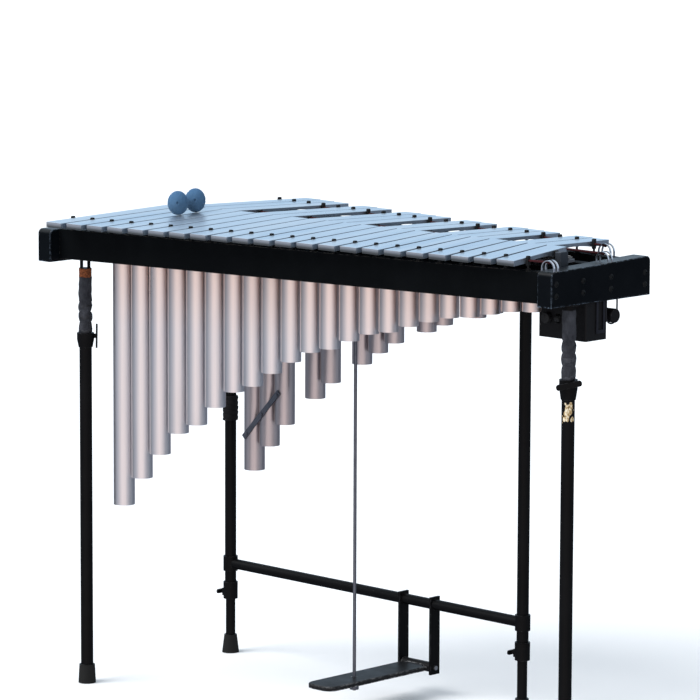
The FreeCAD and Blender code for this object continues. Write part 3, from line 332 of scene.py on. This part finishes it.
def moulded(name, colour, grain, shine):
    """Plastic or rubber with a fine grain and dust in it."""
    p = Paint(name, Specular_IOR_Level=0.14)
    leather = p.cells(grain)
    dust = p.noise(45, (1, 1, 1), 5.0, 0.65)
    base = p.blend(p.ramp(dust, (0.5, 0.0), (0.85, 0.5)), colour, tuple(1.8 * c + 0.003 for c in colour))
    p.set(Base_Color=base, Roughness=p.ramp(dust, (0.3, shine), (0.8, shine + 0.2)))
    p.bump(leather, 0.0003, 0.35)
    return p.material


def cord_material():
    """Dark red braided cord."""
    p = Paint("cord", Specular_IOR_Level=0.2, Roughness=0.85)
    one = p.waves(260, (1, 1, 1), "DIAGONAL")
    two = p.waves(260, (-1, 1, 1), "DIAGONAL")
    braid = p.calc("MAXIMUM", one, two)
    p.set(Base_Color=p.blend(braid, (0.006, 0.003, 0.004), (0.050, 0.007, 0.010)))
    p.bump(braid, 0.0006, 0.6)
    return p.material


def yarn_material():
    """Blue wool yarn, paler on the outer fibres, with painted light on the top of the head."""
    p = Paint("yarn", Roughness=0.92, Specular_IOR_Level=0.12, Sheen_Weight=0.10, Sheen_Roughness=0.5)
    fibres = p.noise(900, (1, 1, 1), 3.0, 0.7)
    patches = p.noise(55, (1, 1, 1), 3.0)
    tint = p.blend(patches, (0.034, 0.072, 0.130), (0.048, 0.098, 0.172))
    # painted light: the yarn turns lighter over the top of the head, above the bars, where the light falls on
    # it
    above = p.ramp(p.calc("SUBTRACT", p.axis("Z"), BAR_TOP), (0.016, 0.0), (0.046, 1.0))
    lit = p.blend(above, tint, (0.040, 0.125, 0.270))
    p.set(Base_Color=p.blend(p.ramp(fibres, (0.35, 0.0), (0.7, 1.0)), lit, (0.100, 0.185, 0.285)))
    p.set(Sheen_Tint=(0.45, 0.65, 0.9, 1))
    p.bump(fibres, 0.0008, 0.6)
    return p.material


def felt_material():
    """Dark grey wool felt, a little lumpy."""
    p = Paint("felt", Roughness=1.0, Specular_IOR_Level=0.05, Sheen_Weight=0.4)
    fibres = p.noise(700, (1, 1, 1), 5.0, 0.75)
    lumps = p.noise(60, (1, 1, 1), 3.0)
    tint = p.blend(lumps, (0.030, 0.032, 0.036), (0.055, 0.056, 0.060))
    p.set(Base_Color=p.blend(fibres, tint, (0.10, 0.10, 0.105)))
    p.bump(fibres, 0.0012, 0.7)
    return p.material


def foam_material():
    """Grey closed-cell pipe foam, scuffed and a little dusty."""
    p = Paint("foam", Roughness=0.9, Specular_IOR_Level=0.15)
    pores = p.cells(900)
    scuffs = p.noise(70, (1, 1, 0.6), 5.0, 0.7)
    tint = p.blend(p.ramp(scuffs, (0.35, 0.0), (0.7, 1.0)), (0.018, 0.019, 0.024), (0.048, 0.050, 0.060))
    p.set(Base_Color=p.blend(p.ramp(pores, (0.0, 0.35), (0.35, 0.0)), tint, (0.008, 0.008, 0.010)))
    p.bump(pores, 0.0006, 0.5)
    return p.material


def tape_material():
    """Grey-black adhesive tape, shiny and wrinkled across."""
    p = Paint("leg_tape", Specular_IOR_Level=0.25)
    wrinkles = p.noise(160, (0.6, 0.6, 3.0), 5.0, 0.65)
    worn = p.noise(40, (1, 1, 1), 4.0)
    greyed = p.ramp(worn, (0.4, 0.0), (0.7, 1.0))
    p.set(Base_Color=p.blend(greyed, (0.010, 0.011, 0.014), (0.040, 0.042, 0.052)))
    p.set(Roughness=p.ramp(wrinkles, (0.3, 0.28), (0.7, 0.55)))
    p.bump(wrinkles, 0.0007, 0.7)
    return p.material


def rust_material():
    """Orange and brown rust in grains."""
    p = Paint("rust", Roughness=0.9, Specular_IOR_Level=0.2)
    grain = p.noise(260, (1, 1, 1), 6.0, 0.75)
    p.set(Base_Color=p.ramp(grain, (0.36, (0.028, 0.014, 0.010)), (0.50, (0.16, 0.045, 0.016)),
                            (0.68, (0.32, 0.11, 0.045))))
    p.bump(grain, 0.0008, 0.7)
    return p.material


def sticker_material():
    """Remains of a cream label, its paper torn and yellowed."""
    p = Paint("torn_label", Roughness=0.8, Specular_IOR_Level=0.2)
    torn = p.noise(330, (1, 1, 0.7), 5.0, 0.7)
    p.set(Base_Color=p.ramp(torn, (0.36, (0.05, 0.04, 0.03)), (0.48, (0.42, 0.28, 0.12)),
                            (0.60, (0.72, 0.66, 0.52))))
    p.bump(torn, 0.0004, 0.6)
    return p.material


def birch_material():
    """Lacquered birch shaft with grain along it."""
    p = Paint("birch", Specular_IOR_Level=0.45)
    turn = math.radians(MALLET_HEADING)
    grain = p.noise(60, (abs(math.sin(turn)) * 6, abs(math.cos(turn)) * 6, 12), 5.0, 0.6)
    p.set(Base_Color=p.blend(grain, (0.46, 0.27, 0.11), (0.70, 0.49, 0.25)), Roughness=0.38)
    p.bump(grain, 0.0002, 0.3)
    return p.material


def make_materials():
    """Materials by slot name. Every node gets its slot's, and a few nodes get one of their own."""
    front_tubes = tube_metal("tube_metal", (0.83, 0.80, 0.81), (0.66, 0.66, 0.70), 0.27)
    # painted shade and highlight: the rear tubes get a darker copy of the tube metal for the shade of the
    # front row, with a warmer peach tint for their highlight
    shaded_rear_tubes = tube_metal("tube_metal_rear_shaded", (0.58, 0.52, 0.52), (0.40, 0.38, 0.42), 0.25)
    legs = painted("leg_black", (0.0028, 0.0028, 0.0032), (0.05, 0.05, 0.055), 0.34, 0.0016, 0.08, 0.034)
    # painted reflection: the pale blue given to the end beams' rubbed edges stands in for the sky reflected
    # along their rounded corners, on top of the wear
    beams_sky_edged = painted("beam_black", (0.0018, 0.0026, 0.0038), (0.20, 0.26, 0.34), 0.26, 0.0035, 0.045,
                    sky_gloss=0.2)
    made = {
        "bar_metal": bar_metal(),
        "post_black": moulded("post_black", (0.010, 0.010, 0.011), 500, 0.42),
        "cord": cord_material(),
        "rail_black": painted("rail_black", (0.0014, 0.0020, 0.0026), (0.10, 0.09, 0.08), 0.46, 0.0014, 0.04),
        "screw_steel": bright_metal("screw_steel", (0.42, 0.43, 0.45), 0.3),
        "chrome": bright_metal("chrome", (0.80, 0.82, 0.86), 0.10, 0.2),
        "tube_metal": front_tubes,
        "strip_metal": bright_metal("strip_metal", (0.30, 0.31, 0.34), 0.38),
        "zinc": bright_metal("zinc", (0.16, 0.17, 0.20), 0.42),
        "belt_rubber": moulded("belt_rubber", (0.012, 0.012, 0.012), 1500, 0.6),
        "motor_black": painted("motor_black", (0.005, 0.005, 0.006), (0.12, 0.12, 0.13), 0.4),
        "box_black": moulded("box_black", (0.0055, 0.0055, 0.0065), 650, 0.45),
        "knob_black": moulded("knob_black", (0.014, 0.014, 0.015), 900, 0.35),
        "felt": felt_material(),
        "leg_black": legs,
        "foam": foam_material(),
        "yarn": yarn_material(),
        "birch": birch_material(),
        "pedal_metal": painted("pedal_metal", (0.010, 0.010, 0.011), (0.45, 0.45, 0.46), 0.35, 0.004),
        "brass": bright_metal("brass", (0.62, 0.42, 0.16), 0.25),
        "cloth_tape": moulded("cloth_tape", (0.006, 0.006, 0.007), 900, 0.7),
        "leg_tape": tape_material(),
        "rust": rust_material(),
        "torn_label": sticker_material(),
    }
    for name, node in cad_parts.items():
        slot = next((s.material.name.split(".")[0] for s in node.material_slots if s.material), None)
        if slot in made:
            for place in node.material_slots:
                place.material = made[slot]
    own = {
        "accidental_resonator_tubes": shaded_rear_tubes,
        "end_beam_low": beams_sky_edged,
        "end_beam_high": beams_sky_edged,
        "frame_screws": painted("screw_black", (0.004, 0.005, 0.006), (0.05, 0.05, 0.05), 0.4, 0.0006),
        "cord_hooks": hook_metal(),
        "motor_and_box_clamps": bright_metal("dark_steel", (0.05, 0.05, 0.06), 0.4),
    }
    for name, material in own.items():
        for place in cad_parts[name].material_slots:
            place.material = material
    return made


# ---- mesh builders ----
def add_mesh(name, points, faces, material, body):
    mesh = bpy.data.meshes.new(name)
    mesh.from_pydata([tuple(p) for p in points], [], faces)
    mesh.validate()
    mesh.shade_smooth()
    mesh.materials.append(material)
    made = bpy.data.objects.new(name, mesh)
    bpy.context.scene.collection.objects.link(made)
    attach(made, body)
    return made


def ring_surface(rows, closed_ends=True):
    """Points and faces of a skin over rings that all have the same number of points."""
    sides = len(rows[0])
    points = [p for row in rows for p in row]
    faces = []
    for r in range(len(rows) - 1):
        for s in range(sides):
            t = (s + 1) % sides
            faces.append((r * sides + s, r * sides + t, (r + 1) * sides + t, (r + 1) * sides + s))
    if closed_ends:
        faces.append(tuple(reversed(range(sides))))
        faces.append(tuple((len(rows) - 1) * sides + s for s in range(sides)))
    return points, faces


def turned_rows(x, y, profile, sides, lumps, grain):
    """Rings round a vertical axis from (height, radius) pairs, made uneven by noise."""
    rows = []
    for z, radius in profile:
        row = []
        for s in range(sides):
            turn = 2 * math.pi * s / sides
            place = Vector((x + radius * math.cos(turn), y + radius * math.sin(turn), z))
            swell = radius + lumps * noise.noise(place * grain)
            row.append(Vector((x + swell * math.cos(turn), y + swell * math.sin(turn), z)))
        rows.append(row)
    return rows


def tube_along(path, radius, sides):
    """Rings of a round strand along a path of points."""
    rows = []
    side = (path[1] - path[0]).normalized().orthogonal().normalized()
    for i, here in enumerate(path):
        ahead = path[min(i + 1, len(path) - 1)]
        back = path[max(i - 1, 0)]
        along = (ahead - back).normalized()
        side = (side - along * side.dot(along)).normalized()
        across = along.cross(side)
        rows.append([here + (side * math.cos(a) + across * math.sin(a)) * radius
                     for a in (2 * math.pi * s / sides for s in range(sides))])
    return rows


# ---- foam sleeves and tape on the legs ----
def sleeve(side, materials):
    """Pipe foam round an upper leg tube. Its lower part is bound with tape and bulges between the turns."""
    name = side + "_foam_sleeve"
    x, y = leg_axis(side + "_lower_leg")
    low, high = span_near("leg_foam_sleeves", x, y, 0.03)
    radius = (high.x - low.x) / 2
    bottom, top = low.z + 0.0005, high.z
    taped = bottom + (top - bottom) * TAPED_SHARE
    profile = [(bottom, radius * 0.80)]
    steps = 96
    for i in range(steps + 1):
        z = bottom + (top - bottom) * i / steps
        if z < taped:
            wave = abs(math.sin(math.pi * TAPE_TURNS * (z - bottom) / (taped - bottom)))
            r = radius * (0.84 + 0.20 * wave ** 0.6)
        else:
            r = radius * (0.985 + 0.02 * math.sin((z - taped) * 90))
        profile.append((z, r))
    profile.append((top + 0.0004, radius * 0.92))
    points, faces = ring_surface(turned_rows(x, y, profile, 48, 0.0016, 70))
    made = add_mesh(name, points, faces, materials["foam"], "frame")
    for turn in range(TAPE_TURNS):
        z = bottom + (taped - bottom) * (turn + (0.5 if turn else 0.12)) / TAPE_TURNS - 0.004
        add_tape(f"{name}_tape_{turn + 1}", x, y, z, radius, materials["leg_tape"])
    return made


def add_tape(name, x, y, z, radius, material):
    """One slanted turn of tape over a bulge."""
    steps = 6
    profile = []
    for step in range(steps + 1):
        share = step / steps
        profile.append((z + TAPE_HEIGHT * share, radius * (1.035 - 0.10 * abs(2 * share - 1) ** 3)))
    rows = turned_rows(x, y, profile, 48, 0.0009, 220)
    for row in rows:
        for s, point in enumerate(row):
            point.z += 0.0022 * math.sin(2 * math.pi * s / len(row))
    points, faces = ring_surface(rows, closed_ends=False)
    made = add_mesh(name, points, faces, material, "frame")
    made.modifiers.new("thickness", "SOLIDIFY").thickness = 0.0006


def rear_wrap(materials):
    """Cloth tape wound round the rear left leg where its upper tube was mended."""
    x, y = leg_axis("rear_left_lower_leg")
    low, high = span_near("leg_upper_tubes", x, y, 0.012)
    radius = (high.x - low.x) / 2
    bottom = WRAP_TOP - WRAP_HEIGHT
    rows = []
    steps, sides = 90, 40
    for i in range(steps + 1):
        z = bottom + (WRAP_TOP - bottom) * i / steps
        row = []
        for s in range(sides):
            turn = 2 * math.pi * s / sides
            phase = ((z - bottom) / (WRAP_TOP - bottom) * WRAP_TURNS + s / sides) % 1
            r = radius + 0.0014 + 0.0022 * phase ** 0.5 * (1 - phase) ** 0.12
            r += 0.0018 * (noise.noise(Vector((math.cos(turn), math.sin(turn), z * 60))) * 0.6 + 0.4)
            row.append(Vector((x + r * math.cos(turn), y + r * math.sin(turn), z)))
        rows.append(row)
    points, faces = ring_surface(rows)
    made = add_mesh("rear_left_tape_wrap", points, faces, materials["cloth_tape"], "frame")


def rusty_band(materials):
    """Rust on the sleeve of the front left bracket, between its fork and the foam."""
    x, y = leg_axis("front_left_lower_leg")
    bottom = span_near("leg_foam_sleeves", x, y, 0.03)[1].z
    steps = 12
    profile = [(bottom + RUST_HEIGHT * i / steps, RUST_RADIUS) for i in range(steps + 1)]
    points, faces = ring_surface(turned_rows(x, y, profile, 40, 0.0004, 260), closed_ends=False)
    made = add_mesh("front_left_rusty_band", points, faces, materials["rust"], "frame")
    made.modifiers.new("thickness", "SOLIDIFY").thickness = 0.0005


def torn_label(materials):
    """Ragged remains of a plain label on the front right lower tube, on the side that faces the player."""
    x, y = leg_axis("front_right_lower_leg")
    columns, rows = 26, 40
    points, faces = [], []
    for r in range(rows + 1):
        for c in range(columns + 1):
            turn = math.radians(LABEL_FACING) + (c / columns - 0.5) * 1.9
            z = LABEL_TOP - LABEL_HEIGHT * r / rows + 0.3 * LABEL_RADIUS * (c / columns - 0.5)
            radius = LABEL_RADIUS + 0.0003 * noise.noise(Vector((turn * 3, 0, z * 300)))
            points.append(Vector((x + radius * math.cos(turn), y + radius * math.sin(turn), z)))
    for r in range(rows):
        for c in range(columns):
            ragged = noise.noise(Vector((c / columns * 4.0, r / rows * 5.0, 7.3)))
            edge = min(c / columns, 1 - c / columns, r / rows, 1 - r / rows)
            if ragged + edge * 1.6 > 0.12:
                a = r * (columns + 1) + c
                faces.append((a, a + 1, a + columns + 2, a + columns + 1))
    made = add_mesh("front_right_torn_label", points, faces, materials["torn_label"], "front_right_leg")
    made.modifiers.new("thickness", "SOLIDIFY").thickness = 0.0003


# ---- mallet heads ----
def mallet_axes():
    """Directions along a mallet's shaft towards its head, across it, and up."""
    heading = math.radians(MALLET_HEADING)
    slope = math.radians(MALLET_SLOPE)
    flat = Vector((math.cos(heading), math.sin(heading), 0))
    forward = -(flat * math.cos(slope) - UP * math.sin(slope))
    side = UP.cross(forward).normalized()
    return forward, side, forward.cross(side)


def yarn_path(centre, axes, sizes, turns, steps):
    """Yarn wound over the two ends of a head, each turn a little further round than the last."""
    path = []
    for i in range(turns * steps):
        turn = 2 * math.pi * i / steps
        spread = math.pi * i / (turns * steps) * 7
        lean = 0.20 * math.sin(i * 2 * math.pi / steps / turns * 5)
        reach = math.sin(turn)
        place = Vector((math.cos(turn), reach * math.cos(spread + lean), reach * math.sin(spread + lean)))
        place = place + 0.16 * Vector((0, -math.sin(spread), math.cos(spread)))
        place.normalize()
        layer = 1.0 + 0.022 * noise.noise(place * 5 + Vector((i / 900, 0, 0)))
        path.append(centre + sum((a * (p * s * layer) for a, p, s in zip(axes, place, sizes)), Vector()))
    return path


def head_core(centre, axes, sizes):
    """Smooth core under the yarn."""
    rows = []
    rings, sides = 20, 32
    for r in range(1, rings):
        lean = math.pi * r / rings
        row = []
        for s in range(sides):
            turn = 2 * math.pi * s / sides
            unit = (math.cos(lean), math.sin(lean) * math.cos(turn), math.sin(lean) * math.sin(turn))
            offset = sum((a * (u * (size - YARN_RADIUS)) for a, u, size in zip(axes, unit, sizes)), Vector())
            row.append(centre + offset)
        rows.append(row)
    return ring_surface(rows)


def mallet_head(side, materials):
    """Yarn wound round a core, in place of the plain head."""
    node = side + "_mallet_head"
    low, high = [Vector(corner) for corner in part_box(node)]
    centre = (low + high) / 2
    upright = (high.z - low.z) / 2
    axes = mallet_axes()
    sizes = [size - YARN_RADIUS for size in (HEAD_HALF_LENGTH, upright * 0.85, upright * 0.985)]
    points, faces = head_core(centre, axes, sizes)
    strand_rows = tube_along(yarn_path(centre, axes, sizes, 110, 40), YARN_RADIUS, 6)
    strand_points, strand_faces = ring_surface(strand_rows)
    shift = len(points)
    points += strand_points
    faces += [tuple(i + shift for i in face) for face in strand_faces]
    made = add_mesh(side + "_mallet_yarn", points, faces, materials["yarn"], side + "_mallet")
    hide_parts(node)


# ---- damper ----
def damper_felt(materials):
    """Long felt pad with a soft crown and slightly uneven edges."""
    low, high = [Vector(corner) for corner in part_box("damper_felt")]
    rows = []
    columns, sides = 240, 24
    half_width = (high.y - low.y) / 2
    half_height = (high.z - low.z) / 2
    middle_z = (low.z + high.z) / 2
    for c in range(columns + 1):
        x = low.x + (high.x - low.x) * c / columns
        pull = 1 - 0.5 * max(0.0, 1 - min(x - low.x, high.x - x) / 0.004)
        row = []
        for s in range(sides):
            turn = 2 * math.pi * s / sides
            y = math.copysign(abs(math.cos(turn)) ** 0.35, math.cos(turn)) * half_width
            z = math.copysign(abs(math.sin(turn)) ** 0.6, math.sin(turn)) * half_height * pull
            ragged = 0.0005 * noise.noise(Vector((x * 160, y * 200, z * 300)))
            row.append(Vector((x, y + ragged, middle_z + z + ragged * (z > 0))))
        rows.append(row)
    points, faces = ring_surface(rows)
    made = add_mesh("damper_felt_pad", points, faces, materials["felt"], "damper")
    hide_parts("damper_felt")


def damper_springs(materials):
    """Two compression springs with closed end coils."""
    low, high = [Vector(corner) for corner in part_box("damper_springs")]
    wire = 0.0009
    radius = (high.y - low.y) / 2 - wire
    middle_y = (low.y + high.y) / 2
    height = high.z - low.z - 2 * wire
    end_share = 0.12               # of the turns, in each closed end coil
    turns = 7
    steps = 28
    for name, x in (("low", low.x + radius + wire), ("high", high.x - radius - wire)):
        path = []
        for i in range(turns * steps + 1):
            share = i / (turns * steps)
            open_part = min(1.0, max(0.0, (share - end_share) / (1 - 2 * end_share)))
            closed_part = min(share / end_share, 1) + max((share - 1 + end_share) / end_share, 0)
            rise = (height - 4 * wire) * open_part + 2 * wire * closed_part
            turn = 2 * math.pi * share * turns
            path.append(Vector((x + radius * math.cos(turn), middle_y + radius * math.sin(turn),
                                low.z + wire + rise)))
        points, faces = ring_surface(tube_along(path, wire, 10))
        made = add_mesh(f"damper_spring_{name}", points, faces, materials["screw_steel"], "frame")
        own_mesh(made)
        if name == "low":
            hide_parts("damper_springs")


# ---- stage, lights and camera ----
def camera_axes():
    """Directions to the right of the picture, up it and into it."""
    flat = Vector((-math.sin(CAMERA_HEADING), math.cos(CAMERA_HEADING), 0))
    side = Vector((math.cos(CAMERA_HEADING), math.sin(CAMERA_HEADING), 0))
    ahead = flat * math.cos(CAMERA_TILT) - UP * math.sin(CAMERA_TILT)
    upright = UP * math.cos(CAMERA_TILT) + flat * math.sin(CAMERA_TILT)
    right = side * math.cos(CAMERA_ROLL) + upright * math.sin(CAMERA_ROLL)
    up = upright * math.cos(CAMERA_ROLL) - side * math.sin(CAMERA_ROLL)
    return right, up, ahead


def make_camera():
    right, up, ahead = camera_axes()
    turn = Matrix((right, up, -ahead)).transposed()
    data = bpy.data.cameras.new("camera")
    data.lens = CAMERA_LENS
    data.sensor_width = 36
    data.clip_end = 200
    camera = bpy.data.objects.new("camera", data)
    camera.matrix_world = Matrix.Translation(CAMERA_PLACE) @ turn.to_4x4()
    bpy.context.scene.collection.objects.link(camera)
    bpy.context.scene.camera = camera


def colour_ramp(tree, value, stops):
    """Colour from a value, through (place, colour) stops."""
    ramp = tree.nodes.new("ShaderNodeValToRGB")
    elements = ramp.color_ramp.elements
    while len(elements) < len(stops):
        elements.new(0.5)
    for element, (position, colour) in zip(elements, stops):
        element.position = position
        element.color = (*colour, 1)
    tree.links.new(value, ramp.inputs[0])
    return ramp.outputs[0]


def height_share(tree, z, start, end):
    """0 below start and 1 above end."""
    share = tree.nodes.new("ShaderNodeMapRange")
    share.inputs["From Min"].default_value = start
    share.inputs["From Max"].default_value = end
    tree.links.new(z, share.inputs["Value"])
    return share.outputs[0]


def mixed(tree, share, a, b):
    mix = tree.nodes.new("ShaderNodeMix")
    mix.data_type = "RGBA"
    sockets = [s for s in mix.inputs if s.type == "RGBA"]
    tree.links.new(share, mix.inputs[0])
    for socket, value in zip(sockets, (a, b)):
        if isinstance(value, tuple):
            socket.default_value = (*value, 1)
        else:
            tree.links.new(value, socket)
    return mix.outputs[2]


def make_world():
    """Soft surroundings: bright behind the camera and dim at its sides low down, and pale sky above."""
    _, _, ahead = camera_axes()
    towards = Vector((-ahead.x, -ahead.y, 0)).normalized()
    towards.rotate(Matrix.Rotation(math.radians(-6), 3, "Z"))
    world = bpy.data.worlds.new("studio")
    bpy.context.scene.world = world
    world.use_nodes = True
    tree = world.node_tree
    place = tree.nodes.new("ShaderNodeTexCoord")
    dot = tree.nodes.new("ShaderNodeVectorMath")
    dot.operation = "DOT_PRODUCT"
    dot.inputs[1].default_value = towards
    tree.links.new(place.outputs["Generated"], dot.inputs[0])
    share = tree.nodes.new("ShaderNodeMapRange")
    share.inputs["From Min"].default_value = -1
    tree.links.new(dot.outputs["Value"], share.inputs["Value"])
    low_down = colour_ramp(tree, share.outputs[0], [
        (0.0, (0.16, 0.20, 0.27)), (0.12, (0.13, 0.15, 0.20)), (0.33, (0.16, 0.19, 0.24)),
        (0.62, (0.34, 0.37, 0.44)), (0.86, (0.62, 0.61, 0.66)), (0.96, (1.08, 0.98, 0.98)),
        (1.0, (1.22, 1.09, 1.08))])
    above = colour_ramp(tree, share.outputs[0], [
        (0.0, (0.60, 0.80, 1.0)), (0.20, (0.56, 0.72, 0.90)), (0.55, (0.62, 0.70, 0.80)),
        (1.0, (0.98, 0.94, 0.93))])
    split = tree.nodes.new("ShaderNodeSeparateXYZ")
    tree.links.new(place.outputs["Generated"], split.inputs[0])
    z = split.outputs["Z"]
    sides = mixed(tree, height_share(tree, z, -0.02, 0.08), low_down, above)
    sky = mixed(tree, height_share(tree, z, 0.35, 0.8), sides, (0.86, 0.93, 1.0))
    tree.links.new(sky, tree.nodes["Background"].inputs["Color"])
    tree.nodes["Background"].inputs["Strength"].default_value = 0.9


def make_stage():
    """Matte white floor and a soft sun."""
    half = 40.0
    corners = [(-half, -half, 0), (half, -half, 0), (half, half, 0), (-half, half, 0)]
    mesh = bpy.data.meshes.new("floor")
    mesh.from_pydata(corners, [], [(0, 1, 2, 3)])
    floor = bpy.data.objects.new("floor", mesh)
    bpy.context.scene.collection.objects.link(floor)
    p = Paint("floor_paint", Base_Color=(0.93, 0.93, 0.93, 1), Roughness=0.9, Specular_IOR_Level=0.1)
    mesh.materials.append(p.material)
    floor.visible_glossy = False
    sun = bpy.data.objects.new("sun", bpy.data.lights.new("sun", "SUN"))
    sun.data.energy = 2.6
    sun.data.angle = 0.7
    sun.rotation_euler = (math.radians(38), math.radians(-22), 0)
    bpy.context.scene.collection.objects.link(sun)
    make_world()


def main():
    bpy.context.scene.view_settings.view_transform = "Standard"
    make_camera()
    materials = make_materials()
    front_left = sleeve("front_left", materials)
    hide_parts("leg_foam_sleeves")
    sleeve("front_right", materials)
    rear_wrap(materials)
    rusty_band(materials)
    torn_label(materials)
    for side in ("left", "right"):
        mallet_head(side, materials)
    damper_felt(materials)
    damper_springs(materials)
    make_stage()


main()
